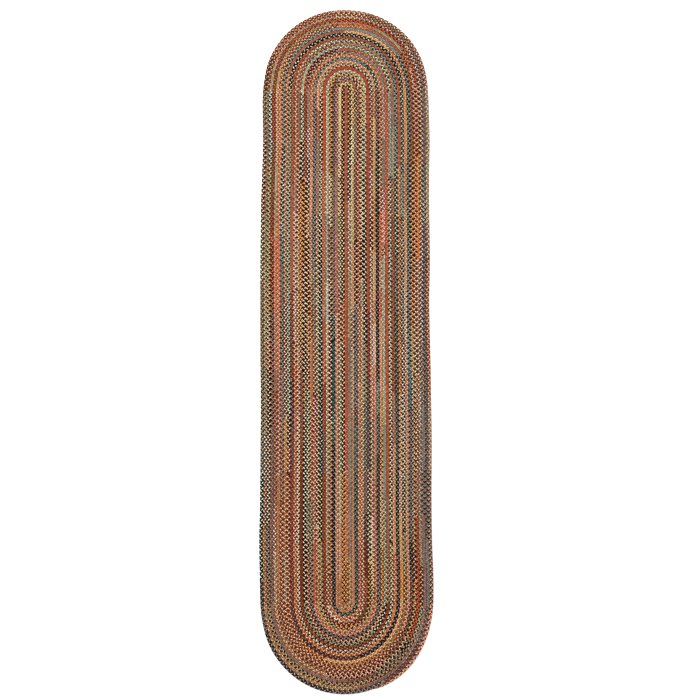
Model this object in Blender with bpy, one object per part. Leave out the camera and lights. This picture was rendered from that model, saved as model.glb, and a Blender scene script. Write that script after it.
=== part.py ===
"""Braided oval runner, lying flat.

One flat plait starts as a straight centre row and coils outwards in long oval turns,
laced edge to edge, until its tapered tail is tucked in against the turn before it. The
rug is one solid: a slab with a raised row for each turn, its edges as uneven as hand
lacing leaves them.

Metres, +Z up. The underside is level at z = 0, the long side runs along Y, and the
origin is under the middle of the rug's bounding box. The head of the rug is its +Y end
and the foot its -Y end, where the tail is.
"""

import math
from collections import namedtuple

import bmesh
import bpy
from mathutils import Vector

NAME = "braided_rug"

# Driving dimensions.
ROW_WIDTH = 0.01135            # one row of plait, measured from groove to groove
ROWS_EACH_SIDE = 26            # rows on either side of the centre row
RUG_LENGTH = 2.438             # head to foot
CREST_HEIGHT = 0.0080          # level top of a row
GROOVE_HEIGHT = 0.0046         # bottom of a groove, and the height of the rim's widest line
CREST_SHARE = 0.54             # part of a row's width that its level top takes
RIM_UNDERCUT = 0.0016          # how far the rim draws in on its way down to the floor
SIDE_SHIFT = 0.00077           # from the centre row to the middle of the uneven rug

# The tail narrows between these two places, measured round the last turn at the foot
# from the rug's right side.
TAIL_START = math.radians(40.0)
TAIL_END = math.radians(70.0)

# Faces along each long side and round each end.
SIDE_STEPS = 12
END_STEPS = 18
STATIONS = 2 * (SIDE_STEPS + END_STEPS)

MERGE_DISTANCE = 0.00001

# How far each long edge stands out (+) or in (-) from a true oval. The places run from
# the foot to the head, counted from the rug's middle.
Edge = namedtuple("Edge", "along left right")
EDGES = (
    Edge(along=-1.219, left=-0.0020, right=-0.0020),
    Edge(along=-1.090, left=-0.0042, right=-0.0036),
    Edge(along=-0.985, left=-0.0085, right=-0.0018),
    Edge(along=-0.900, left=-0.0050, right=0.0030),
    Edge(along=-0.830, left=-0.0028, right=0.0039),
    Edge(along=-0.700, left=0.0000, right=0.0002),
    Edge(along=-0.560, left=-0.0018, right=-0.0008),
    Edge(along=-0.350, left=-0.0018, right=0.0016),
    Edge(along=-0.205, left=-0.0012, right=0.0003),
    Edge(along=-0.070, left=0.0010, right=-0.0008),
    Edge(along=0.140, left=0.0029, right=-0.0036),
    Edge(along=0.290, left=0.0039, right=-0.0002),
    Edge(along=0.500, left=0.0028, right=-0.0014),
    Edge(along=0.620, left=-0.0004, right=-0.0005),
    Edge(along=0.730, left=-0.0027, right=0.0020),
    Edge(along=0.880, left=0.0005, right=-0.0010),
    Edge(along=0.960, left=-0.0034, right=-0.0042),
    Edge(along=1.060, left=-0.0020, right=-0.0024),
    Edge(along=1.219, left=0.0000, right=0.0000),
)

# Worked out from the driving dimensions. Each half turn at the head joins left row k to
# right row k. Each half turn at the foot joins right row k to left row k + 1, so its
# centre lies half a row to the left, and that is what makes the rows a spiral.
HALF_WIDTH = (ROWS_EACH_SIDE + 0.5) * ROW_WIDTH
HEAD_CENTRE = Vector((0.0, RUG_LENGTH / 2 - HALF_WIDTH, 0.0))
FOOT_RADIUS = ROWS_EACH_SIDE * ROW_WIDTH
FOOT_CENTRE = Vector((-ROW_WIDTH / 2, FOOT_RADIUS - RUG_LENGTH / 2, 0.0))

# One place round the oval: the point that its rows are counted from, the way out to the
# rim, and how far out the first row's middle lies.
Station = namedtuple("Station", "centre outward first_row")


def remove_old_objects():
    """Empty the scene."""
    for obj in list(bpy.data.objects):
        bpy.data.objects.remove(obj, do_unlink=True)


def oval_stations():
    """List the stations of one turn: right side, foot, left side, head."""
    straight = HEAD_CENTRE.y - FOOT_CENTRE.y
    stations = []
    for step in range(SIDE_STEPS):
        level = Vector((0.0, HEAD_CENTRE.y - straight * step / SIDE_STEPS, 0.0))
        stations.append(Station(level, Vector((1.0, 0.0, 0.0)), 0.0))
    for step in range(END_STEPS):
        turn = math.pi * step / END_STEPS
        outward = Vector((math.cos(turn), -math.sin(turn), 0.0))
        stations.append(Station(FOOT_CENTRE, outward, ROW_WIDTH / 2))
    for step in range(SIDE_STEPS):
        level = Vector((0.0, FOOT_CENTRE.y + straight * step / SIDE_STEPS, 0.0))
        stations.append(Station(level, Vector((-1.0, 0.0, 0.0)), ROW_WIDTH))
    for step in range(END_STEPS):
        turn = math.pi * step / END_STEPS
        outward = Vector((-math.cos(turn), math.sin(turn), 0.0))
        stations.append(Station(HEAD_CENTRE, outward, ROW_WIDTH))
    return stations


def tail_share(place):
    """Share of its full width that the last turn has left at a station, 1 down to 0."""
    turn = math.pi * (place - SIDE_STEPS) / END_STEPS
    gone = (turn - TAIL_START) / (TAIL_END - TAIL_START)
    return math.sqrt(1.0 - min(max(gone, 0.0), 1.0))


def coil_top(bm):
    """Loft the rows' tops along the coil.

    The coil's steps are numbered on from the centre row's start, STATIONS to a turn, so
    the groove outside step s is the groove inside step s + STATIONS.
    """
    stations = oval_stations()
    last_turn = ROWS_EACH_SIDE
    tail_place = SIDE_STEPS + math.ceil(END_STEPS * TAIL_END / math.pi)
    last_step = last_turn * STATIONS + tail_place
    edge_of_crest = (1.0 - CREST_SHARE) / 2

    def width(step):
        turn, place = divmod(step, STATIONS)
        return ROW_WIDTH * (tail_share(place) if turn == last_turn else 1.0)

    def point(step, across, height):
        turn, place = divmod(step, STATIONS)
        station = stations[place]
        inner = station.first_row + (turn - 0.5) * ROW_WIDTH
        spot = station.centre + station.outward * (inner + across * width(step))
        return bm.verts.new((spot.x, spot.y, height))

    grooves = []
    for step in range(last_turn * STATIONS + STATIONS):
        grooves.append(point(step, 0.0, GROOVE_HEIGHT))
    for place in range(tail_place + 1):
        grooves.append(point(last_turn * STATIONS + place, 1.0, GROOVE_HEIGHT))

    rise = CREST_HEIGHT - GROOVE_HEIGHT
    crests = []
    for step in range(last_step + 1):
        height = GROOVE_HEIGHT + rise * width(step) / ROW_WIDTH
        crests.append((point(step, edge_of_crest, height),
                       point(step, 1.0 - edge_of_crest, height)))

    for step in range(last_step):
        this_row = (grooves[step], *crests[step], grooves[step + STATIONS])
        next_row = (grooves[step + 1], *crests[step + 1], grooves[step + 1 + STATIONS])
        for lane in range(3):
            bm.faces.new((this_row[lane], next_row[lane],
                          next_row[lane + 1], this_row[lane + 1]))
    bmesh.ops.remove_doubles(bm, verts=bm.verts, dist=MERGE_DISTANCE)


def boundary(bm):
    """List the edges that have a face on one side only."""
    return [edge for edge in bm.edges if edge.is_boundary]


def close_below(bm):
    """Round off the centre row's start, then add the rim and the level underside."""
    cap_sides = END_STEPS + 3
    bmesh.ops.holes_fill(bm, edges=boundary(bm), sides=cap_sides)
    rim = bmesh.ops.extrude_edge_only(bm, edges=boundary(bm))
    for vert in rim["geom"]:
        if isinstance(vert, bmesh.types.BMVert):
            level = min(max(vert.co.y, FOOT_CENTRE.y), HEAD_CENTRE.y)
            inward = Vector((0.0 - vert.co.x, level - vert.co.y, 0.0)).normalized()
            vert.co += inward * RIM_UNDERCUT
            vert.co.z = 0.0
    bmesh.ops.holes_fill(bm, edges=boundary(bm), sides=0)


def edge_offset(along, side):
    """Read the table of edges at one place with a smooth curve through its rows."""
    last = len(EDGES) - 1
    low = max(index for index in range(last) if index == 0 or EDGES[index].along <= along)
    rows = [EDGES[min(max(low + shift, 0), last)] for shift in (-1, 0, 1, 2)]
    before, start, end, after = (getattr(row, side) for row in rows)
    part = (along - rows[1].along) / (rows[2].along - rows[1].along)
    part = min(max(part, 0.0), 1.0)
    slope_in = (end - before) / 2
    slope_out = (after - start) / 2
    ease = part * part * (3.0 - 2.0 * part)
    swing_in = part * (1.0 - part) ** 2
    swing_out = part * part * (part - 1.0)
    return start + (end - start) * ease + slope_in * swing_in + slope_out * swing_out


def make_uneven(bm):
    """Widen or narrow the rug along its length, as the table of edges says."""
    for vert in bm.verts:
        side = "left" if vert.co.x < 0.0 else "right"
        vert.co.x *= 1.0 + edge_offset(vert.co.y, side) / HALF_WIDTH
        vert.co.x += SIDE_SHIFT


def wool_material():
    """Material of the wool blend plait, in the rug's average colour."""
    material = bpy.data.materials.new("wool_braid")
    material.use_nodes = True
    shader = material.node_tree.nodes["Principled BSDF"]
    shader.inputs["Base Color"].default_value = (0.283, 0.150, 0.087, 1.0)
    shader.inputs["Roughness"].default_value = 0.92
    shader.inputs["Metallic"].default_value = 0.0
    return material


def build_rug():
    """Build the rug's solid in a collection of its own."""
    bm = bmesh.new()
    coil_top(bm)
    close_below(bm)
    make_uneven(bm)
    bmesh.ops.triangulate(bm, faces=bm.faces)
    bmesh.ops.recalc_face_normals(bm, faces=bm.faces)
    mesh = bpy.data.meshes.new(NAME)
    bm.to_mesh(mesh)
    bm.free()
    mesh.shade_smooth()
    mesh.set_sharp_from_angle(angle=math.radians(60.0))
    mesh.materials.append(wool_material())
    rug = bpy.data.objects.new(NAME, mesh)
    collection = bpy.data.collections.new("braided_rug_parts")
    bpy.context.scene.collection.children.link(collection)
    collection.objects.link(rug)
    return rug


remove_old_objects()
build_rug()
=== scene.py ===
"""Looks of the braided oval runner: the plait itself, strand over strand, turn by turn.

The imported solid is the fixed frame. This script lays the real plait in its place: one
long flat three-strand plait that starts as the rug's centre row and coils outwards in
oval turns. Each strand shows as a row of slanting loops on either side of the plait's
middle, and each loop takes the yarn that its strand has there. The yarns change by
splices, so the rows drift from rust to cream, gold, sage, blue-grey and plum.

Metres, +Z up, the frame's own axes: the rug's head is its +Y end, its foot the -Y end.
"""

from __future__ import annotations

import logging
import math
from dataclasses import dataclass
from enum import Enum

import bpy
import numpy as np
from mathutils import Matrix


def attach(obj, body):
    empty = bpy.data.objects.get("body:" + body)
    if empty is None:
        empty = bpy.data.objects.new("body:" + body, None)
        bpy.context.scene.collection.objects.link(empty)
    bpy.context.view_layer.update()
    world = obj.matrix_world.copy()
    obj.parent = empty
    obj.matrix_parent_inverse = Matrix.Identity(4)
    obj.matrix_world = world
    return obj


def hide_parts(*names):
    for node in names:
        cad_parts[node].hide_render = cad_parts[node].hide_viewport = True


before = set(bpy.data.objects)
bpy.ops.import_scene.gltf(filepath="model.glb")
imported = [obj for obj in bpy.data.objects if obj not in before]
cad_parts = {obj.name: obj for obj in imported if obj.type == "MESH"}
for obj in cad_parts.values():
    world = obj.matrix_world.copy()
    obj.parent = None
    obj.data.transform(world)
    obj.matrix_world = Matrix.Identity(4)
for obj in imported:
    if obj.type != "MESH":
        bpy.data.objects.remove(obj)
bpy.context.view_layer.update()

log = logging.getLogger("braided_rug")

NODE = "braided_rug"
BODY = "root"


# ---------------------------------------------------------------- yarns and splices


class Yarn(Enum):
    """Yarns of the rug, as the sRGB colour that each has in daylight."""

    BLACK = (34, 29, 23)
    DARK_BROWN = (88, 62, 46)
    MAROON = (124, 56, 46)
    PLUM = (119, 78, 73)
    BRICK = (196, 88, 60)
    ROSE = (208, 96, 86)
    RUST = (184, 108, 76)
    DARK_RUST = (142, 72, 42)
    SALMON = (224, 152, 122)
    ORANGE = (222, 130, 70)
    GOLD = (244, 192, 120)
    YELLOW = (248, 224, 154)
    CREAM = (252, 233, 194)
    PEACH = (243, 196, 158)
    TAN = (192, 158, 118)
    OLIVE = (132, 112, 68)
    SAGE = (162, 166, 136)
    MINT = (198, 204, 178)
    TAUPE = (150, 114, 96)
    WHITE_GREY = (240, 230, 216)
    LILAC_GREY = (150, 133, 127)
    BLUE_GREY = (136, 149, 147)
    TEAL = (80, 107, 105)
    SLATE = (52, 63, 63)

    @property
    def linear(self) -> tuple[float, float, float]:
        """Give the colour as linear light."""
        return tuple(((c / 255 + 0.055) / 1.055) ** 2.4 for c in self.value)


# One letter for each yarn, as the list of turns writes it.
LETTERS = {
    "k": Yarn.BLACK, "n": Yarn.DARK_BROWN, "m": Yarn.MAROON, "p": Yarn.PLUM,
    "b": Yarn.BRICK, "f": Yarn.ROSE, "r": Yarn.RUST, "d": Yarn.DARK_RUST, "s": Yarn.SALMON,
    "o": Yarn.ORANGE, "g": Yarn.GOLD, "y": Yarn.YELLOW, "c": Yarn.CREAM,
    "e": Yarn.PEACH, "t": Yarn.TAN, "v": Yarn.OLIVE, "l": Yarn.SAGE,
    "i": Yarn.MINT, "u": Yarn.TAUPE, "w": Yarn.WHITE_GREY, "z": Yarn.LILAC_GREY,
    "a": Yarn.BLUE_GREY, "q": Yarn.TEAL, "x": Yarn.SLATE,
}


@dataclass(frozen=True)
class Turn:
    """The three yarns along one turn of the coil, as runs of three letters.

    Each stretch lists its runs in the order in which the plait passes them. The number
    after a star is the run's share of the stretch.
    """

    right: str
    foot: str
    left: str = ""
    head: str = ""


# From the centre row outwards. The last turn ends at the foot, with the tail.
TURNS = (
    Turn(right="rrb*50 brb*15 bsb*10 bre*8 ors*9 grd*8", foot="ort",
         left="kog*25 mkc*25 mre*8 mkc*8 kkc*10 kke*24", head="ekn"),
    Turn(right="kne*12 kwn*10 wzs*6 zwu*8 ltu*14 zul*10 zrl*6 zlu*9 zlr*17 glr*8", foot="tsv",
         left="otr*5 tes*10 ctl*10 cvl*15 ctv*10 cnr*10 nly*5 uyv*10 yen*7 ryc*8 yge*10",
         head="ygv"),
    Turn(right="yvg*8 yvc*7 ygl*16 oet*13 cru*8 teu*13 ttr*20 tso*15", foot="tos",
         left="sto*5 sre*30 bet*10 fsc*11 fsz*15 rzt*14 psz*15", head="mzs*30 pus*30 rut*40"),
    Turn(right="mpe*5 mul*10 mpt*15 pek*12 kza*8 kaz*12 xpz*4 qaq*9 kqa*13 kzq*12", foot="lqk",
         left="zxk*31 lqx*7 xqq*12 aqk*5 tkz*6 uzm*6 zmz*8 pzu*8 pnz*17",
         head="nup*20 pez*40 mep*40"),
    Turn(right="mut*6 med*8 mre*16 red*13 rbc*9 rcb*6 bet*14 obc*16 rbe*12", foot="obe",
         left="edr*6 gnr*10 enr*9 gnt*10 cnm*25 cnr*7 rnt*6 tcn*2 gkc*8 gok*17",
         head="gok*30 gek*30 gke*40"),
    Turn(right="gke*8 ctk*12 cke*10 ckd*8 ule*6 ctr*6 clr*12 cbl*13 cbt*12 cbu*13",
         foot="cur*30 crs*30 cwr*40", left="cdr*8 elr*17 cut*20 cls*9 iil*8 lzi*13 llc*25",
         head="lct*100"),
    Turn(right="iyu*7 cxl*9 kcv*9 kcx*25 ktl*11 lxu*6 xlu*8 pzu*8 pzn*5 dmn*7 rmr*5",
         foot="mdu*30 mds*70", left="mdr*25 mzd*8 brm*9 rbs*8 brr*5 fss*3 brs*17 bbs*8 bbb*17",
         head="bbb"),
    Turn(right="bbb*25 rbb*19 mpf*14 mnz*6 pnz*11 npc*7 ckv*10 gdn*8",
         foot="gnv*30 gko*30 gkl*40", left="gkl*3 gvl*9 kyx*13 kix*41 xkc*9 klc*10 kuc*15",
         head="lut*15 enl*20 etn*25 ckz*40"),
    Turn(right="zke*16 wzp*9 wkn*7 lnc*8 tuc*15 cbt*10 tnc*10 cus*8 cwr*7 ycm*7 lyn*3",
         foot="etr*70 gtr*30",
         left="gur*5 det*10 crk*17 cnr*8 cvu*10 tcn*10 vcr*8 etp*7 utr*10 uut*5 ruo*6 oes*4",
         head="oet"),
    Turn(right="oer*6 oge*6 ogt*10 ogr*11 ges*9 ser*4 wse*8 sef*8 fst*10 rst*6 bre*22",
         foot="bse", left="bsr*12 fue*21 fmw*7 eup*10 pzt*7 pal*9 azk*34",
         head="axt*45 aaq*30 qik*25"),
    Turn(right="kuz*10 kxl*10 kxz*37 qla*7 xqz*8 xxz*13 qkz*7 kza*8", foot="xzu*35 ukz*25 kzu*40",
         left="ktz*8 ktl*7 lnt*5 erd*18 ort*12 grd*12 oue*13 oes*9 seb*4 obe*12",
         head="obe*30 ore*70"),
    Turn(right="red*12 rcd*13 bso*9 ser*6 bbs*6 soe*4 seo*10 ogt*8 ogn*7 ged*15 ogd*10",
         foot="ekg*40 esk*30 crd*30",
         left="emr*9 cmn*4 ltn*7 lkc*20 ckb*8 kes*8 ckm*15 lem*4 cnm*5 wkm*6 wzu*7 tzu*7",
         head="tzm*20 upe*30 tzu*50"),
    Turn(right="zeu*10 zlu*10 wuf*5 wfs*6 nle*3 ill*6 lli*7 ilt*9 lit*10 lla*14 lvi*13 vil*7",
         foot="cxn*25 tkl*45 ktl*30",
         left="kcn*12 kcx*18 kcm*6 gkz*6 ckn*8 cmk*5 mnc*10 gmn*17 dms*10 mrd*8",
         head="mrb*10 msk*35 rub*15 rus*40"),
    Turn(right="bbs*35 brb*45 rru*12 rmt*8", foot="dmr*30 drm*70",
         left="mdd*25 mdr*5 rud*7 mru*8 ekr*5 gkt*8 gko*17 okg*7 xkc*8 clx*10",
         head="lit*20 lui*40 lvi*20 lck*20"),
    Turn(right="lzi*18 ckl*7 xlc*8 kwl*7 kyl*5 kci*18 kcl*25 lyn*7 nlc*5",
         foot="ckl*30 ckt*70",
         left="cne*12 cke*23 ctm*10 ctr*5 cno*10 etu*10 con*5 bcn*9 uem*6 uru*10",
         head="utd*45 rut*55"),
    Turn(right="ruz*8 tul*10 rtd*7 rrd*35 sru*10 rse*8 oes*12 obe*10", foot="oos*10 obe*90",
         left="oeb*12 bcb*8 ber*12 fsu*6 beb*7 nes*5 wsu*10 spi*15 usz*9 rue*16",
         head="uer*25 lcu*20 kti*20 lax*15 xaz*20"),
    Turn(right="lak*15 ikq*18 kaz*12 kql*5 kqz*25 kxl*15 kpz*10", foot="kxz*40 mxu*60",
         left="pmr*25 mup*8 mkz*10 rpm*7 mrp*10 bru*20 rrd*20", head="rrd"),
    Turn(right="rrb*16 reo*9 grd*25 ogd*10 gme*15 wsr*8 geo*10 goo*7",
         foot="geo*60 ogd*20 erd*20",
         left="erd*7 cbm*10 ebn*8 mcb*5 kcm*6 kli*8 iln*6 ilx*10 lki*22 qlt*8 klt*10",
         head="kin*10 kwk*15 kik*15 kix*60"),
    Turn(right="qik*17 qla*9 zki*24 zwk*8 zkw*4 lwk*8 clk*7 ckv*9 ntl*8 gvn*6",
         foot="vtr*25 otd*35 erd*40",
         left="etu*10 gru*15 grt*11 mcu*6 mcr*16 etd*14 eru*18 erd*10",
         head="reo*10 rru*40 oeg*25 ore*25"),
    Turn(right="gos*15 oer*10 oet*15 ecr*10 csu*6 ser*19 teu*7 esr*18",
         foot="esb*15 mer*10 emr*35 rem*40",
         left="mer*20 mzt*11 mlz*5 pza*9 kza*5 kzl*7 pza*8 aax*5 axi*5 iqk*13 zxl*12",
         head="zxl*20 lqz*25 laz*35 qlx*20"),
    Turn(right="lqk*30 kaa*25 qqa*8 zkz*12 uka*13 kxz*5 npz*7",
         foot="npz*12 rnu*18 erm*30 rtd*40",
         left="rto*10 ort*15 brc*10 bre*10 oeb*18 bos*12 boe*25",
         head="ode*15 erd*30 ros*15 rru*20 mrr*20"),
    Turn(right="mru*15 dme*10 kgr*11 mgr*11 gvt*9 ckt*6 ekt*23 yrk*4 ekd*6 ogn*5",
         foot="gkr*15 ekt*15 esk*30 etr*40",
         left="etz*10 wur*10 usp*20 ruz*5 uzs*11 srs*14 ltu*10 ltt*5 tue*15",
         head="ttt*10 tut*10 tvt*25 tor*20 tlt*15 rdt*10 sme*10"),
    Turn(right="ern*9 gnr*11 oke*13 crm*9 cnr*8 cnu*6 mte*6 mrc*13 mst*8 bmr*17",
         foot="bmr*15 lkm*5 nlu*15 pur*15 uzr*50",
         left="uzd*34 rkz*9 bkz*7 rku*10 mrn*10 mdb*5 mdu*8 dmu*7 mbd*10",
         head="ddr*22 rrd*23 brm*35 bmt*20"),
    Turn(right="erm*5 ekb*8 bog*21 rcu*12 cru*14 wlr*6 iru*19 utl*8 nde*7",
         foot="ntl*15 rnl*25 tnt*20 ktt*40",
         left="ntu*5 ktz*10 kcu*17 knc*13 koc*5 kct*5 kgt*7 kgl*23 wkl*15",
         head="tlt*10 uts*35 ute*10 uue*10 eup*15 mcz*20"),
    Turn(right="cun*25 wum*15 wpu*10 zlp*12 zua*13 aun*8 zrz*17",
         foot="tuz*25 zur*20 gtu*15 goz*35 otz*5",
         left="gur*15 eup*10 wup*7 lmt*18 lpt*15 ltp*10 utp*18 lnt*7",
         head="pdt*15 prt*30 mcr*15 mut*20 zmu*20"),
    Turn(right="zpu*15 xlu*6 xiu*6 xzu*61 azu*12",
         foot="upz*15 upp*20 zxu*20 xnz*35 xzu*10",
         left="xnz*5 kxi*20 kul*20 nut*5 nvt*12 nvc*13 nmc*15 nut*10",
         head="ndt*15 red*30 ert*15 rcu*40"),
    Turn(right="cut*26 rcu*8 rde*26 tue*14 eun*26", foot="eds"),
)


# ---------------------------------------------------------------- the coil's way round


@dataclass(frozen=True)
class Edge:
    """How far both long edges stand out (+) or in (-) from a true oval at one place."""

    along: float
    left: float
    right: float


# The same uneven edges as the solid's, from the foot to the head.
EDGES = (
    Edge(-1.219, -0.0020, -0.0020),
    Edge(-1.090, -0.0042, -0.0036),
    Edge(-0.985, -0.0085, -0.0018),
    Edge(-0.900, -0.0050, 0.0030),
    Edge(-0.830, -0.0028, 0.0039),
    Edge(-0.700, 0.0000, 0.0002),
    Edge(-0.560, -0.0018, -0.0008),
    Edge(-0.350, -0.0018, 0.0016),
    Edge(-0.205, -0.0012, 0.0003),
    Edge(-0.070, 0.0010, -0.0008),
    Edge(0.140, 0.0029, -0.0036),
    Edge(0.290, 0.0039, -0.0002),
    Edge(0.500, 0.0028, -0.0014),
    Edge(0.620, -0.0004, -0.0005),
    Edge(0.730, -0.0027, 0.0020),
    Edge(0.880, 0.0005, -0.0010),
    Edge(0.960, -0.0034, -0.0042),
    Edge(1.060, -0.0020, -0.0024),
    Edge(1.219, 0.0000, 0.0000),
)


@dataclass(frozen=True)
class Sway:
    """How many rows the inner rows lie too far right at one place along the rug."""

    along: float
    rows: float


SWAYS = (
    Sway(-1.219, 0.30),
    Sway(-0.900, 0.55),
    Sway(-0.650, 0.40),
    Sway(-0.200, 0.40),
    Sway(0.300, 0.26),
    Sway(0.600, 0.18),
    Sway(0.900, 0.24),
    Sway(1.219, 0.10),
)


@dataclass(frozen=True)
class Hold:
    """The share of the sway that a row takes, by its place across in rows."""

    across: float
    share: float


HOLDS = (
    Hold(-26.5, 0.20),
    Hold(-25.0, 0.40),
    Hold(-22.0, 0.85),
    Hold(-18.0, 1.05),
    Hold(-8.0, 1.05),
    Hold(0.0, 0.85),
    Hold(5.0, 0.75),
    Hold(13.0, 0.15),
    Hold(27.0, 0.05),
)


@dataclass(frozen=True)
class Lift:
    """What both ends' rows take of their drift, by their radius in rows.

    Attributes:
        reach: the radius.
        foot: how many rows the foot's rows lie too far towards the head.
        head: the same for the head's rows.
        swell: share that a row takes of the head's bulge.
    """

    reach: float
    foot: float
    head: float
    swell: float


LIFTS = (
    Lift(0.0, 1.15, 0.00, 0.0),
    Lift(6.0, 1.15, 0.00, 0.0),
    Lift(10.0, 1.15, 0.00, 0.3),
    Lift(15.0, 1.15, -0.13, 0.7),
    Lift(22.0, 0.51, -0.31, 1.0),
    Lift(26.5, -0.10, -0.42, 0.8),
)


@dataclass(frozen=True)
class Bulge:
    """How many rows too far out the head's rows lie, by the share of its half circle."""

    turned: float
    rows: float


BULGES = (
    Bulge(0.00, 0.00),
    Bulge(0.05, 0.05),
    Bulge(0.10, 0.25),
    Bulge(0.18, 0.42),
    Bulge(0.30, 0.54),
    Bulge(0.42, 0.46),
    Bulge(0.52, 0.22),
    Bulge(0.64, 0.28),
    Bulge(0.76, 0.30),
    Bulge(0.88, 0.10),
    Bulge(1.00, 0.00),
)


class Stretch(Enum):
    """The four stretches of one turn, in the order in which the plait passes them."""

    RIGHT = 0
    FOOT = 1
    LEFT = 2
    HEAD = 3


def smooth(part: np.ndarray) -> np.ndarray:
    """Ease from 0 to 1."""
    part = np.clip(part, 0.0, 1.0)
    return part * part * (3.0 - 2.0 * part)


def column(table: tuple, name: str) -> np.ndarray:
    """List the values of one of a table's columns."""
    return np.array([getattr(row, name) for row in table])


def read(table: tuple, place: str, value: str, at: np.ndarray) -> np.ndarray:
    """Read a column of a table at some places, with straight lines between its rows."""
    return np.interp(at, column(table, place), column(table, value))


@dataclass
class Coil:
    """The way that the plait takes from the centre row to the tail.

    Attributes:
        row_width: one row, from groove to groove.
        rows_each_side: rows on either side of the centre row.
        rug_length: from the head to the foot.
        start_overhang: how far past the head's centre the plait starts.
        tail_start: angle in the foot's last half turn at which the tail starts to narrow.
        tail_end: angle at which the tail ends.
        tail_cut: share of the narrowing that is done when the tail is cut off.
        side_shift: from the centre row to the middle of the uneven rug.
        end_ease: length over which the drift of both ends fades out along the sides.
        least_reach: smallest distance from a half turn's centre.
    """

    row_width: float = 0.01135
    rows_each_side: int = 26
    rug_length: float = 2.438
    start_overhang: float = 0.0046
    tail_start: float = math.radians(40.0)
    tail_end: float = math.radians(70.0)
    tail_cut: float = 0.99
    side_shift: float = 0.00077
    end_ease: float = 0.30
    least_reach: float = 0.0002

    def __post_init__(self) -> None:
        """Work out the oval's centres, and where each stretch starts and ends."""
        self.half_width = (self.rows_each_side + 0.5) * self.row_width
        self.head_y = self.rug_length / 2 - self.half_width
        self.foot_y = self.rows_each_side * self.row_width - self.rug_length / 2
        last_turn_stretches = len((Stretch.RIGHT, Stretch.FOOT))
        number = np.arange(self.rows_each_side * len(Stretch) + last_turn_stretches)
        self.turns, self.kinds = np.divmod(number, len(Stretch))
        straight, foot, head = 0.0 * self.turns, self.turns + 0.5, self.turns + 1.0
        self.radii = np.choose(self.kinds, (straight, foot, straight, head)) * self.row_width
        lengths = np.where(self.radii > 0.0, math.pi * self.radii, self.head_y - self.foot_y)
        lengths[-1] = self.tail_end * self.radii[-1]
        self.ends = np.cumsum(lengths)
        self.starts = self.ends - lengths
        self.length = float(self.ends[-1])

    def turn_start(self, turn: int) -> float:
        """Give the distance along the plait at which a turn starts."""
        return float(self.starts[turn * len(Stretch)])

    def tail_share(self, travelled: np.ndarray) -> np.ndarray:
        """Give the share of its width that the plait has left, less than 1 in the tail."""
        turned = (travelled - self.starts[-1]) / self.radii[-1]
        gone = (turned - self.tail_start) / (self.tail_end - self.tail_start)
        return np.sqrt(1.0 - np.clip(gone, 0.0, self.tail_cut))

    def place(self, travelled: np.ndarray, out: np.ndarray) -> tuple[np.ndarray, np.ndarray]:
        """Place points beside the plait's middle line on the floor plan.

        Args:
            travelled: distances along the plait.
            out: distances from the plait's middle towards the rim.

        Returns:
            The points' x and y.
        """
        index = np.searchsorted(self.starts, travelled, side="right") - 1
        index = np.clip(index, 0, len(self.starts) - 1)
        gone = travelled - self.starts[index]
        turn, radius = self.turns[index], self.radii[index]
        angle = gone / np.where(radius > 0.0, radius, 1.0)
        reach = np.maximum(radius + out, self.least_reach)
        kind = self.kinds[index]
        x = np.choose(kind, (turn * self.row_width + out,
                             reach * np.cos(angle) - self.row_width / 2,
                             -(turn + 1) * self.row_width - out,
                             -reach * np.cos(angle)))
        y = np.choose(kind, (self.head_y - gone,
                             self.foot_y - reach * np.sin(angle),
                             self.foot_y + gone,
                             self.head_y + reach * np.sin(angle)))
        return self.drift(x, y)

    def edge_offset(self, along: np.ndarray, side: str) -> np.ndarray:
        """Read the table of edges with a smooth curve through its rows.

        Args:
            along: places along the rug's length.
            side: "left" or "right".

        Returns:
            How far that edge stands out from a true oval there.
        """
        places, values = column(EDGES, "along"), column(EDGES, side)
        last = len(EDGES) - 1
        low = np.clip(np.searchsorted(places, along, side="right") - 1, 0, last - 1)
        start, end = values[low], values[low + 1]
        before = values[np.maximum(low - 1, 0)]
        after = values[np.minimum(low + 2, last)]
        part = np.clip((along - places[low]) / (places[low + 1] - places[low]), 0.0, 1.0)
        swing_in = (end - before) / 2 * part * (1.0 - part) ** 2
        swing_out = (after - start) / 2 * part * part * (part - 1.0)
        return start + (end - start) * smooth(part) + swing_in + swing_out

    def drift(self, x: np.ndarray, y: np.ndarray) -> tuple[np.ndarray, np.ndarray]:
        """Move points from the true oval to where hand lacing has let them drift.

        Args:
            x: the points' places across the true oval.
            y: their places along it.

        Returns:
            The points' x and y on the real rug.
        """
        past_foot, past_head = self.foot_y - y, y - self.head_y
        at_foot = np.hypot(x + self.row_width / 2, past_foot)
        at_head = np.hypot(x, past_head)
        reach = np.where(past_foot > 0.0, at_foot, np.where(past_head > 0.0, at_head, np.abs(x)))
        reach = reach / self.row_width
        sway = read(SWAYS, "along", "rows", y)
        sway = sway * read(HOLDS, "across", "share", x / self.row_width)
        foot = read(LIFTS, "reach", "foot", reach) * smooth(past_foot / self.end_ease + 1.0)
        head = read(LIFTS, "reach", "head", reach) * smooth(past_head / self.end_ease + 1.0)
        turned = np.arctan2(np.maximum(past_head, 0.0), -x)
        bulge = read(BULGES, "turned", "rows", turned / math.pi)
        bulge = bulge * read(LIFTS, "reach", "swell", reach)
        edge = np.where(x < 0.0, self.edge_offset(y, "left"), self.edge_offset(y, "right"))
        x = x + (sway - bulge * np.cos(turned)) * self.row_width
        x = x * (1.0 + edge / self.half_width) + self.side_shift
        return x, y + (foot + head + bulge * np.sin(turned)) * self.row_width


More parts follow.
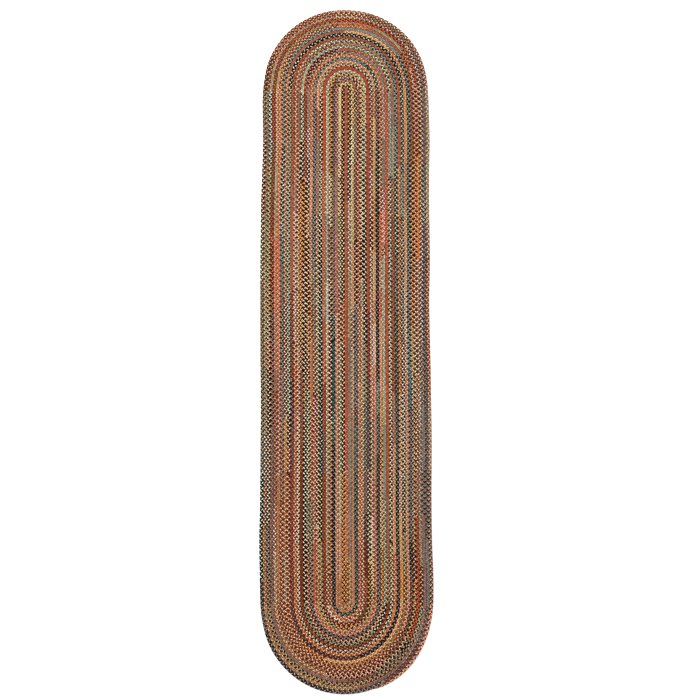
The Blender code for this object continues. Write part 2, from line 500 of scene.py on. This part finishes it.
@dataclass
class Splices:
    """The plait's yarns from its start to its tail, worked out from the list of turns.

    Attributes:
        coil: the plait's way.
        strands: how many strands the plait has.
        spread: how far a strand's splice may lie from the end of its run.
        spread_share: the same as a share of the shorter run beside it.
        tone_noise: how much the tone of a yarn changes from run to run.
        contrast: how far a run's yarns are set apart in lightness, 1 for not at all.
        least_light: least share of its own light that a dark yarn keeps.
        seed: seed of the draws.
    """

    coil: Coil
    strands: int = 3
    spread: float = 0.012
    spread_share: float = 0.4
    tone_noise: float = 0.08
    contrast: float = 1.42
    least_light: float = 0.5
    seed: int = 8

    def __post_init__(self) -> None:
        """Stagger the splices of the strands, and give each run's yarns their tones."""
        ends, colours = self.lay_runs()
        lengths = np.diff(ends, prepend=0.0)
        shorter = np.minimum(lengths, np.append(lengths[1:], lengths[-1]))
        room = np.minimum(shorter * self.spread_share, self.spread)
        random = np.random.default_rng(self.seed)
        stagger = random.uniform(-1.0, 1.0, (len(ends), self.strands))
        tones = random.normal(0.0, self.tone_noise, (len(ends), self.strands, 1))
        self.ends = ends[:, None] + room[:, None] * stagger
        self.colours = self.set_apart(colours) * np.exp(tones)

    def lay_runs(self) -> tuple[np.ndarray, np.ndarray]:
        """Lay the runs of all turns end to end along the plait.

        Returns:
            The distance at which each run ends, and the linear colours of its strands.
        """
        held = " " * self.strands
        ends, colours = [], []
        for number, (start, end) in enumerate(zip(self.coil.starts, self.coil.ends)):
            turn, kind = divmod(number, len(Stretch))
            runs = self.runs(getattr(TURNS[turn], Stretch(kind).name.lower()))
            total = sum(share for _, share in runs)
            run_end = start
            for letters, share in runs:
                held = self.keep_strands(held, letters)
                run_end += (end - start) * share / total
                ends.append(run_end)
                colours.append([LETTERS[letter].linear for letter in held])
        return np.array(ends), np.array(colours)

    def set_apart(self, colours: np.ndarray) -> np.ndarray:
        """Set the yarns of each run apart in lightness, but keep hues and the run's mean.

        Args:
            colours: linear colours, by run and strand.

        Returns:
            The new colours.
        """
        usual = colours.mean(axis=1, keepdims=True)
        light = colours.mean(axis=2, keepdims=True)
        darker = usual.mean(axis=2, keepdims=True) / light - 1.0
        colours = colours * np.maximum(1.0 - darker * (self.contrast - 1.0), self.least_light)
        return colours * usual / colours.mean(axis=1, keepdims=True)

    @staticmethod
    def runs(text: str) -> list[tuple[str, float]]:
        """Split one stretch of the list of turns into runs.

        Args:
            text: runs of three letters, each with its share after a star.

        Returns:
            The letters and the share of each run.
        """
        words = [word.partition("*") for word in text.split()]
        return [(letters, float(share or 1)) for letters, _, share in words]

    @staticmethod
    def keep_strands(held: str, wanted: str) -> str:
        """Order the yarns of a run, so that a yarn that goes on stays on its strand.

        Args:
            held: the yarns that the strands have so far.
            wanted: the yarns of the new run.

        Returns:
            The letters of the new run, one for each strand.
        """
        new = list(wanted)
        kept = []
        for letter in held:
            if letter in new:
                new.remove(letter)
                kept.append(letter)
            else:
                kept.append("")
        return "".join(letter or new.pop(0) for letter in kept)

    def at(self, travelled: np.ndarray, strand: np.ndarray) -> np.ndarray:
        """Find the yarns at some places.

        Args:
            travelled: distances along the plait.
            strand: number of the strand at each place.

        Returns:
            Linear colours, one row for each place.
        """
        colours = np.zeros((len(travelled), 3))
        for number in range(self.strands):
            mine = strand == number
            run = np.searchsorted(self.ends[:, number], travelled[mine])
            run = np.minimum(run, len(self.colours) - 1)
            colours[mine] = self.colours[run, number]
        return colours


# ---------------------------------------------------------------- the plait


@dataclass(frozen=True)
class Rib:
    """One line of points that runs along the plait.

    Attributes:
        across: place across the plait, -1 at the inner edge and 1 at the rim's side.
        crest: height where a loop is highest.
        gap: height between two loops.
        lag: how far the loop has turned back there, in loops.
        lies: place across the bake map, 0 to 1.
    """

    across: float
    crest: float
    gap: float
    lag: float
    lies: float


RIBS = (
    Rib(-1.02, 0.0044, 0.0030, 0.00, 0.000),
    Rib(-0.84, 0.0070, 0.0046, 0.08, 0.090),
    Rib(-0.56, 0.0081, 0.0052, 0.24, 0.180),
    Rib(-0.28, 0.0077, 0.0051, 0.42, 0.270),
    Rib(0.00, 0.0058, 0.0058, 0.58, 0.360),
    Rib(0.28, 0.0077, 0.0051, 0.42, 0.450),
    Rib(0.56, 0.0081, 0.0052, 0.24, 0.540),
    Rib(0.84, 0.0070, 0.0046, 0.08, 0.630),
    Rib(1.02, 0.0044, 0.0030, 0.00, 0.720),
    Rib(0.60, 0.0000, 0.0008, 0.20, 0.800),
    Rib(0.00, 0.0005, 0.0005, 0.58, 0.860),
    Rib(-0.60, 0.0000, 0.0008, 0.20, 0.920),
)
# Ribs on the plait's middle line, at its rim and below its middle.
MIDDLE, RIM, BELOW = 4, 8, 10


@dataclass
class Plait:
    """The flat three-strand plait, as a mesh of slanting loops along the coil.

    Each ring of points lies a half loop after the one before. The loops on both sides of
    the plait's middle take turns: the inner ones crest at odd rings, the outer ones at
    even rings.

    Attributes:
        coil: the plait's way.
        splices: its yarns.
        cycle: length of plait over which every strand shows once on either side.
        zigzag: how far the middle line swings, in half widths.
        rim_crest: how far a loop stands out at the rug's rim, in half widths.
        rim_gap: the same between two loops.
        start_share: share of its width, squared, that the centre row starts with.
        start_ease: length over which it widens.
        thin_height: share of its height that the plait keeps where it has no width.
        resting: points lower than this rest on the floor and don't swell.
        pitch_noise: how far a ring may slip along the plait.
        height_noise: how much the height changes from ring to ring.
        shade_noise: how much the lightness changes from loop to loop.
        warmth_noise: the same for the warmth of the colour.
        strips: how many strips the bake map has.
        seed: seed of the draws.
    """

    coil: Coil
    splices: Splices
    cycle: float = 0.0185
    zigzag: float = 0.26
    rim_crest: float = 1.06
    rim_gap: float = 0.90
    start_share: float = 0.6
    start_ease: float = 0.007
    thin_height: float = 0.35
    resting: float = 0.001
    pitch_noise: float = 0.00022
    height_noise: float = 0.05
    shade_noise: float = 0.15
    warmth_noise: float = 0.05
    strips: int = 28
    seed: int = 26

    def __post_init__(self) -> None:
        """Work out the step between rings, and each ring's own small faults."""
        self.strands = self.splices.strands
        self.step = self.cycle / self.strands / 2
        self.rings = int((self.coil.length + self.coil.start_overhang) / self.step)
        random = np.random.default_rng(self.seed)
        self.slips = random.normal(0.0, self.pitch_noise, self.rings + 1)
        self.swells = random.normal(0.0, self.height_noise, self.rings + 1)
        self.tints = random.normal(0.0, 1.0, (self.rings + 4, 2))

    def ring_of(self, travelled: float) -> int:
        """Give the ring nearest to a distance along the plait, a whole cycle's first."""
        cycle = 2 * self.strands
        return round((travelled + self.coil.start_overhang) / self.step / cycle) * cycle

    def points(self, first: int, last: int) -> np.ndarray:
        """Place the points of the rings from first to last.

        Args:
            first: number of the piece's first ring.
            last: number of its last ring.

        Returns:
            An array of rings, ribs and x, y, z.
        """
        ring = np.arange(first, last + 1)
        odd = ring % 2 == 1
        along = ring * self.step - self.coil.start_overhang + self.slips[ring]
        travelled = along[:, None] - column(RIBS, "lag") * self.step * 2
        outermost = travelled[:, RIM] > self.coil.turn_start(self.coil.rows_each_side - 1)

        opening = np.clip((travelled + self.coil.start_overhang) / self.start_ease, 0.0, 1.0)
        share = self.coil.tail_share(travelled)
        share = share * np.sqrt(self.start_share + (1.0 - self.start_share) * opening)
        half = self.coil.row_width / 2
        pulled_in = np.where(travelled > self.coil.starts[-1], (1.0 - share) * half, 0.0)
        out = self.sides(odd, outermost) * half * share - pulled_in
        x, y = self.coil.place(travelled, out)

        inner = column(RIBS, "across") < 0.0
        is_crest = np.where(inner, odd[:, None], ~odd[:, None])
        height = np.where(is_crest, column(RIBS, "crest"), column(RIBS, "gap"))
        height = height * (1.0 + self.swells[ring][:, None] * (height > self.resting))
        height = height * (self.thin_height + (1.0 - self.thin_height) * share)
        return np.stack((x, y, height), axis=-1)

    def sides(self, odd: np.ndarray, outermost: np.ndarray) -> np.ndarray:
        """Give the places of some rings' points across the plait, in half widths.

        Args:
            odd: whether each ring's number is odd.
            outermost: whether each ring is part of the rug's rim.

        Returns:
            An array of rings and ribs.
        """
        side = np.repeat(column(RIBS, "across")[None, :], len(odd), axis=0)
        swing = np.where(odd, self.zigzag, -self.zigzag)
        side[:, MIDDLE] = swing
        side[:, BELOW] = swing
        rim = np.where(odd, self.rim_gap, self.rim_crest)
        side[:, RIM] = np.where(outermost, rim, side[:, RIM])
        return side

    @staticmethod
    def faces(ring: np.ndarray, rib: np.ndarray) -> tuple[np.ndarray, np.ndarray]:
        """List the faces: those round the plait, then the triangles that close its ends.

        Args:
            ring: the piece's own ring at which each four-sided face starts.
            rib: rib at which each four-sided face starts.

        Returns:
            The points of all corners, and each face's number of corners.
        """
        ribs = len(RIBS)
        after = (rib + 1) % ribs
        quads = np.stack((ring * ribs + rib, ring * ribs + after,
                          (ring + 1) * ribs + after, (ring + 1) * ribs + rib), axis=-1)
        last_ring = (ring[-1] + 1) * ribs
        first_middle = np.full(ribs, last_ring + ribs)
        start = np.stack((after[:ribs], rib[:ribs], first_middle), axis=-1)
        end = np.stack((rib[:ribs] + last_ring, after[:ribs] + last_ring,
                        first_middle + 1), axis=-1)
        corners = np.concatenate((quads.ravel(), start.ravel(), end.ravel()))
        return corners, np.repeat((4, 3), (len(quads), ribs * 2))

    def build(self, name: str, first: int, last: int) -> bpy.types.Object:
        """Build the plait between two rings as one closed mesh.

        Args:
            name: the piece's name.
            first: number of its first ring.
            last: number of its last ring.

        Returns:
            The new object.
        """
        points = self.points(first, last)
        end_middles = points[[0, -1]].mean(axis=1)
        points = np.concatenate((points.reshape(-1, 3), end_middles))
        ring, rib = np.divmod(np.arange((last - first) * len(RIBS)), len(RIBS))
        corners, sizes = self.faces(ring, rib)

        mesh = bpy.data.meshes.new(name)
        mesh.vertices.add(len(points))
        mesh.vertices.foreach_set("co", points.ravel())
        mesh.loops.add(len(corners))
        mesh.loops.foreach_set("vertex_index", corners)
        mesh.polygons.add(len(sizes))
        mesh.polygons.foreach_set("loop_start", np.cumsum(sizes) - sizes)
        mesh.update(calc_edges=True)
        mesh.shade_smooth()
        self.crease(mesh)
        self.colour(mesh, first + ring, rib, len(corners))
        self.lay_maps(mesh, first, ring, rib, len(corners))
        piece = bpy.data.objects.new(name, mesh)
        bpy.context.scene.collection.objects.link(piece)
        return piece

    def crease(self, mesh: bpy.types.Mesh) -> None:
        """Mark the edges between the loops, and round the piece's two ends, as sharp."""
        ribs = len(RIBS)
        ends = np.empty(len(mesh.edges) * 2, dtype=np.int32)
        mesh.edges.foreach_get("vertices", ends)
        ring, rib = np.divmod(ends.reshape(-1, 2), ribs)
        last_ring = ring.max() - 1
        same_ring = ring[:, 0] == ring[:, 1]
        wraps = np.abs(rib[:, 0] - rib[:, 1]) > 1
        low = np.where(wraps, ribs - 1, rib.min(axis=1))
        outer = (low >= MIDDLE) & (low < BELOW)
        between_loops = same_ring & ((ring[:, 0] % 2 == 1) == outer)
        round_end = same_ring & ((ring[:, 0] == 0) | (ring[:, 0] == last_ring))
        same_rib = ~same_ring & ((rib[:, 0] == MIDDLE) | (rib[:, 0] == BELOW))
        sharp = mesh.attributes.new("sharp_edge", "BOOLEAN", "EDGE")
        sharp.data.foreach_set("value", between_loops | round_end | same_rib)

    def colour(self, mesh: bpy.types.Mesh, ring: np.ndarray, rib: np.ndarray,
               corners: int) -> None:
        """Give every face the yarn of its loop.

        Args:
            mesh: the piece's mesh.
            ring: the whole plait's ring at which each four-sided face starts.
            rib: rib at which each four-sided face starts.
            corners: how many corners the mesh has in all.
        """
        outer = (rib >= MIDDLE) & (rib < BELOW)
        loop = np.where(outer, (ring - 1) // 2, ring // 2)
        strand = np.where(outer, loop + 2, loop) % self.strands
        middle = (loop * 2 + 1 + outer) * self.step - self.coil.start_overhang
        colours = self.splices.at(middle, strand)
        tint = self.tints[np.clip(loop * 2 + outer, 0, len(self.tints) - 1)]
        warmth = self.warmth_noise * tint[:, 1:] * (1.0, 0.0, -1.0)
        colours = colours * np.exp(self.shade_noise * tint[:, :1] + warmth)
        colours = colours / np.maximum(colours.max(axis=1, keepdims=True), 1.0)
        rgba = np.ones((corners, 4), dtype=np.float32)
        rgba[:len(colours) * 4, :3] = np.repeat(colours, 4, axis=0)
        rgba[len(colours) * 4:, :3] = colours.mean(axis=0)
        layer = mesh.color_attributes.new("yarn", "FLOAT_COLOR", "CORNER")
        layer.data.foreach_set("color", rgba.ravel())

    def lay_maps(self, mesh: bpy.types.Mesh, first: int, ring: np.ndarray,
                 rib: np.ndarray, corners: int) -> None:
        """Lay the map that is baked and the one that follows each strand.

        Args:
            mesh: the piece's mesh.
            first: number of the piece's first ring.
            ring: the piece's own ring at which each four-sided face starts.
            rib: rib at which each four-sided face starts.
            corners: how many corners the mesh has in all.
        """
        lies = np.append(column(RIBS, "lies"), 1.0)
        per_strip = math.ceil((int(ring[-1]) + 1) / self.strips)
        strip = ring // per_strip
        ring_add = np.array([0, 0, 1, 1])
        rib_add = np.array([0, 1, 1, 0])
        u = (ring[:, None] - strip[:, None] * per_strip + ring_add) / per_strip
        v = (strip[:, None] + lies[rib[:, None] + rib_add]) / self.strips
        self.add_map(mesh, "OFBake", u, v, corners)

        across = np.abs(column((*RIBS, RIBS[0]), "across"))
        outer = (rib >= MIDDLE) & (rib < BELOW)
        from_gap = (first + ring - outer) % 2
        along = (from_gap[:, None] + ring_add) / 2
        self.add_map(mesh, "strand", across[rib[:, None] + rib_add], along, corners)

    @staticmethod
    def add_map(mesh: bpy.types.Mesh, name: str, u: np.ndarray, v: np.ndarray,
                corners: int) -> None:
        """Add a map to a mesh. The end faces take no room in it.

        Args:
            mesh: the piece's mesh.
            name: the map's name.
            u: place across the map, by four-sided face and corner.
            v: place up the map, likewise.
            corners: how many corners the mesh has in all.
        """
        uv = np.zeros((corners, 2), dtype=np.float32)
        uv[:u.size] = np.stack((u.ravel(), v.ravel()), axis=-1)
        mesh.uv_layers.new(name=name).data.foreach_set("uv", uv.ravel())


# ---------------------------------------------------------------- materials


class Value:
    """A node socket in an expression: arithmetic on it adds Math nodes."""

    def __init__(self, tree: bpy.types.NodeTree, socket: bpy.types.NodeSocket) -> None:
        """Keep the tree and the socket."""
        self.tree = tree
        self.socket = socket

    def feed(self, socket: bpy.types.NodeSocket) -> None:
        """Link this value to a socket."""
        self.tree.links.new(self.socket, socket)

    def maths(self, operation: str, *others: float | Value) -> Value:
        """Add one Math node.

        Args:
            operation: the node's operation.
            others: its inputs after this one.

        Returns:
            The node's result.
        """
        node = self.tree.nodes.new("ShaderNodeMath")
        node.operation = operation
        for slot, item in zip(node.inputs, (self, *others)):
            connect(item, slot)
        return Value(self.tree, node.outputs[0])

    def __add__(self, other: float | Value) -> Value:
        """Add."""
        return self.maths("ADD", other)

    __radd__ = __add__

    def __sub__(self, other: float | Value) -> Value:
        """Subtract."""
        return self.maths("SUBTRACT", other)

    def __rsub__(self, other: float) -> Value:
        """Subtract from a number."""
        return self.maths("MULTIPLY", -1.0) + other

    def __mul__(self, other: float | Value) -> Value:
        """Multiply."""
        return self.maths("MULTIPLY", other)

    __rmul__ = __mul__

    def __pow__(self, other: float) -> Value:
        """Raise to a power."""
        return self.maths("POWER", other)

    def sine(self) -> Value:
        """Take the sine."""
        return self.maths("SINE")


def connect(item: object, socket: bpy.types.NodeSocket) -> None:
    """Link a value to a socket, or set the socket to a constant."""
    if isinstance(item, Value):
        item.feed(socket)
    else:
        socket.default_value = item


@dataclass
class Shader:
    """A material under construction."""

    name: str

    def __post_init__(self) -> None:
        """Start the material with its Principled shader."""
        self.material = bpy.data.materials.new(self.name)
        self.material.use_nodes = True
        self.tree = self.material.node_tree
        self.principled = self.tree.nodes["Principled BSDF"]

    @staticmethod
    def in_use(sockets: bpy.types.bpy_prop_collection, name: str) -> bpy.types.NodeSocket:
        """Find the socket of a name that the node's settings have put in use."""
        return next(socket for socket in sockets if socket.enabled and socket.name == name)

    def node(self, kind: str, output: str, settings: dict[str, str] | None = None,
             **inputs: object) -> Value:
        """Add a node: its settings first, then its inputs.

        Args:
            kind: the node's type, without its prefix.
            output: name of the output that is returned.
            settings: its properties.
            inputs: values or links by socket name, with _ for a space.

        Returns:
            The chosen output.
        """
        node = self.tree.nodes.new(f"ShaderNode{kind}")
        for key, item in (settings or {}).items():
            setattr(node, key, item)
        for key, item in inputs.items():
            connect(item, self.in_use(node.inputs, key.replace("_", " ")))
        return Value(self.tree, self.in_use(node.outputs, output))

    def surface(self, **inputs: object) -> None:
        """Set or feed sockets of the Principled shader, by name with _ for a space."""
        for key, item in inputs.items():
            connect(item, self.principled.inputs[key.replace("_", " ")])


@dataclass(frozen=True)
class WoolFinish:
    """Matte wool blend yarn: heathered fibres, twisted plies, faint fuzz and painted shade.

    Attributes:
        roughness: usual roughness of the yarn.
        roughness_spread: how much the fibres change it.
        specular: level of the yarn's shine.
        fibre_scale: scale of the fibres' noise.
        fibre_detail: its detail.
        heather_scale: scale of the noise of blended colours.
        plies: how many plies lie side by side in a loop.
        ply_slant: how steeply the plies slant across a loop.
        painted_dome_power: how soon the painted shade on a loop rises along it, less than 1 for
            sooner.
        painted_gap_shade: painted shade deep between two loops, as a share of the yarn's colour.
        painted_crest_shade: painted shade on a loop's crest, lighter than between loops.
        fibre_shade: how much the fibres change the shade.
        heather_shade: how much the blend changes it.
        painted_ply_shade: how much painted shade and light the plies add, darker between them.
        fibre_relief: height of the fibres, as a share of the relief.
        ply_relief: height of the plies, as the same share.
        relief: height that a bump of 1 stands for.
        bump_strength: strength of the bump.
    """

    roughness: float = 0.88
    roughness_spread: float = 0.2
    specular: float = 0.04
    fibre_scale: float = 1500.0
    fibre_detail: float = 2.0
    heather_scale: float = 260.0
    plies: float = 5.0
    ply_slant: float = 2.0
    painted_dome_power: float = 0.6
    painted_gap_shade: float = 0.13
    painted_crest_shade: float = 0.98
    fibre_shade: float = 0.35
    heather_shade: float = 0.30
    painted_ply_shade: float = 0.05
    fibre_relief: float = 0.9
    ply_relief: float = 0.35
    relief: float = 0.00035
    bump_strength: float = 0.6

    def material(self) -> bpy.types.Material:
        """Build the yarn's material."""
        shader = Shader("wool_braid")
        place = shader.node("TexCoord", "Object")
        strand = shader.node("UVMap", "UV", {"uv_map": "strand"})
        yarn = shader.node("Attribute", "Color", {"attribute_name": "yarn"})
        lengthwise = shader.node("SeparateXYZ", "X", Vector=strand)
        crosswise = shader.node("SeparateXYZ", "Y", Vector=strand)
        fibre = shader.node("TexNoise", "Fac", Vector=place, Scale=self.fibre_scale,
                            Detail=self.fibre_detail)
        heather = shader.node("TexNoise", "Fac", Vector=place, Scale=self.heather_scale)
        ply = ((lengthwise * self.ply_slant + crosswise) * (self.plies * math.tau)).sine()
        # Painted shade: the yarn's colour is darker deep between loops and lighter on each loop's
        # crest.
        painted_dome = (crosswise * math.pi).sine() * (lengthwise * math.pi).sine() ** self.painted_dome_power
        shade = self.painted_gap_shade + painted_dome * (self.painted_crest_shade - self.painted_gap_shade)
        shade = shade + (fibre - 0.5) * self.fibre_shade + (heather - 0.5) * self.heather_shade
        # Painted shade and light from the plies: darker between them, lighter on them.
        shade = shade + ply * self.painted_ply_shade
        colour = shader.node("VectorMath", "Vector", {"operation": "SCALE"},
                             Vector=yarn, Scale=shade)
        height = ply * self.ply_relief + fibre * self.fibre_relief
        bump = shader.node("Bump", "Normal", Height=height, Strength=self.bump_strength,
                           Distance=self.relief)
        shader.surface(Base_Color=colour, Normal=bump, Specular_IOR_Level=self.specular,
                       Roughness=self.roughness + (fibre - 0.5) * self.roughness_spread)
        return shader.material


@dataclass(frozen=True)
class FloorFinish:
    """Pale matte floor, its roughness a little uneven."""

    grey: float = 0.93
    roughness: float = 0.75
    roughness_spread: float = 0.1
    grain_scale: float = 40.0

    def material(self) -> bpy.types.Material:
        """Build the floor's material."""
        shader = Shader("pale_floor")
        place = shader.node("TexCoord", "Object")
        grain = shader.node("TexNoise", "Fac", Vector=place, Scale=self.grain_scale)
        shader.surface(Base_Color=(self.grey, self.grey, self.grey, 1.0),
                       Roughness=self.roughness + grain * self.roughness_spread,
                       Specular_IOR_Level=0.0)
        return shader.material


# ---------------------------------------------------------------- floor, light, camera


@dataclass
class Studio:
    """Plain pale floor, soft light and the camera over the rug.

    Attributes:
        floor_side: side of the square floor.
        floor_drop: how far the floor lies under the rug.
        camera_distance: from the camera to the point that it aims at.
        tilt: how far the camera looks from straight down, towards the head.
        lens: its focal length in millimetres.
        sensor: its sensor's width in millimetres.
        aim_x: place across the rug that it aims at.
        aim_y: place along the rug that it aims at.
        sky: strength of the even light.
        lamp_power: power of the soft light in watts.
        lamp_side: side of its square.
        lamp_place: where it hangs.
        lamp_turn: how it is turned.
        pixel_filter: width over which the picture's points are smoothed.
    """

    floor_side: float = 14.0
    floor_drop: float = 0.0002
    camera_distance: float = 4.105
    tilt: float = math.radians(6.0)
    lens: float = 59.6
    sensor: float = 36.0
    aim_x: float = 0.0170
    aim_y: float = -0.0313
    sky: float = 0.985
    lamp_power: float = 119.0
    lamp_side: float = 2.5
    lamp_place: tuple[float, float, float] = (-1.6, 1.2, 3.2)
    lamp_turn: tuple[float, float, float] = (math.radians(-20.0), math.radians(-26.0), 0.0)
    pixel_filter: float = 1.2

    def floor(self) -> None:
        """Lay the pale floor just under the rug."""
        bpy.ops.mesh.primitive_plane_add(size=self.floor_side,
                                         location=(0.0, 0.0, -self.floor_drop))
        floor = bpy.context.object
        floor.name = "floor"
        floor.data.materials.append(FloorFinish().material())

    def lights(self) -> None:
        """Hang one broad soft light and fill the room evenly."""
        world = bpy.data.worlds.new("room")
        bpy.context.scene.world = world
        world.use_nodes = True
        background = world.node_tree.nodes["Background"]
        background.inputs["Color"].default_value = (1.0, 1.0, 1.0, 1.0)
        background.inputs["Strength"].default_value = self.sky
        lamp = bpy.data.lights.new("soft_box", "AREA")
        lamp.shape = "SQUARE"
        lamp.size = self.lamp_side
        lamp.energy = self.lamp_power
        box = bpy.data.objects.new("soft_box", lamp)
        box.location = self.lamp_place
        box.rotation_euler = self.lamp_turn
        bpy.context.scene.collection.objects.link(box)

    def camera(self) -> None:
        """Set the camera almost straight above, a little towards the foot."""
        data = bpy.data.cameras.new("camera")
        data.lens = self.lens
        data.sensor_width = self.sensor
        camera = bpy.data.objects.new("camera", data)
        camera.location = (self.aim_x, self.aim_y - self.camera_distance * math.sin(self.tilt),
                           self.camera_distance * math.cos(self.tilt))
        camera.rotation_euler = (self.tilt, 0.0, 0.0)
        bpy.context.scene.collection.objects.link(camera)
        bpy.context.scene.camera = camera

    def build(self) -> None:
        """Set the stage."""
        self.floor()
        self.lights()
        self.camera()
        scene = bpy.context.scene
        scene.view_settings.view_transform = "Standard"
        scene.view_settings.look = "None"
        scene.cycles.filter_width = self.pixel_filter


# ---------------------------------------------------------------- the rug


@dataclass
class Rug:
    """The whole rug, as pieces of two turns each. The last one has three."""

    turns_in_piece: int = 2

    def build(self) -> None:
        """Build every piece and hang it on the frame."""
        coil = Coil()
        plait = Plait(coil, Splices(coil))
        wool = WoolFinish().material()
        pieces = len(TURNS) // self.turns_in_piece
        for number in range(pieces):
            turn = number * self.turns_in_piece
            first = plait.ring_of(coil.turn_start(turn)) if number else 0
            is_last = number == pieces - 1
            last = plait.rings if is_last else plait.ring_of(
                coil.turn_start(turn + self.turns_in_piece))
            piece = plait.build(f"plait_turn_{turn:02d}", first, last)
            piece.data.materials.append(wool)
            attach(piece, BODY)
            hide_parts(NODE)
            length = (last - first) * plait.step
            log.info("%s: %.2f m of plait, %d faces", piece.name, length,
                     len(piece.data.polygons))


def main() -> None:
    """Build the rug, then the stage round it."""
    logging.basicConfig(level=logging.INFO, format="%(message)s")
    Rug().build()
    Studio().build()


if __name__ == "__main__":
    main()
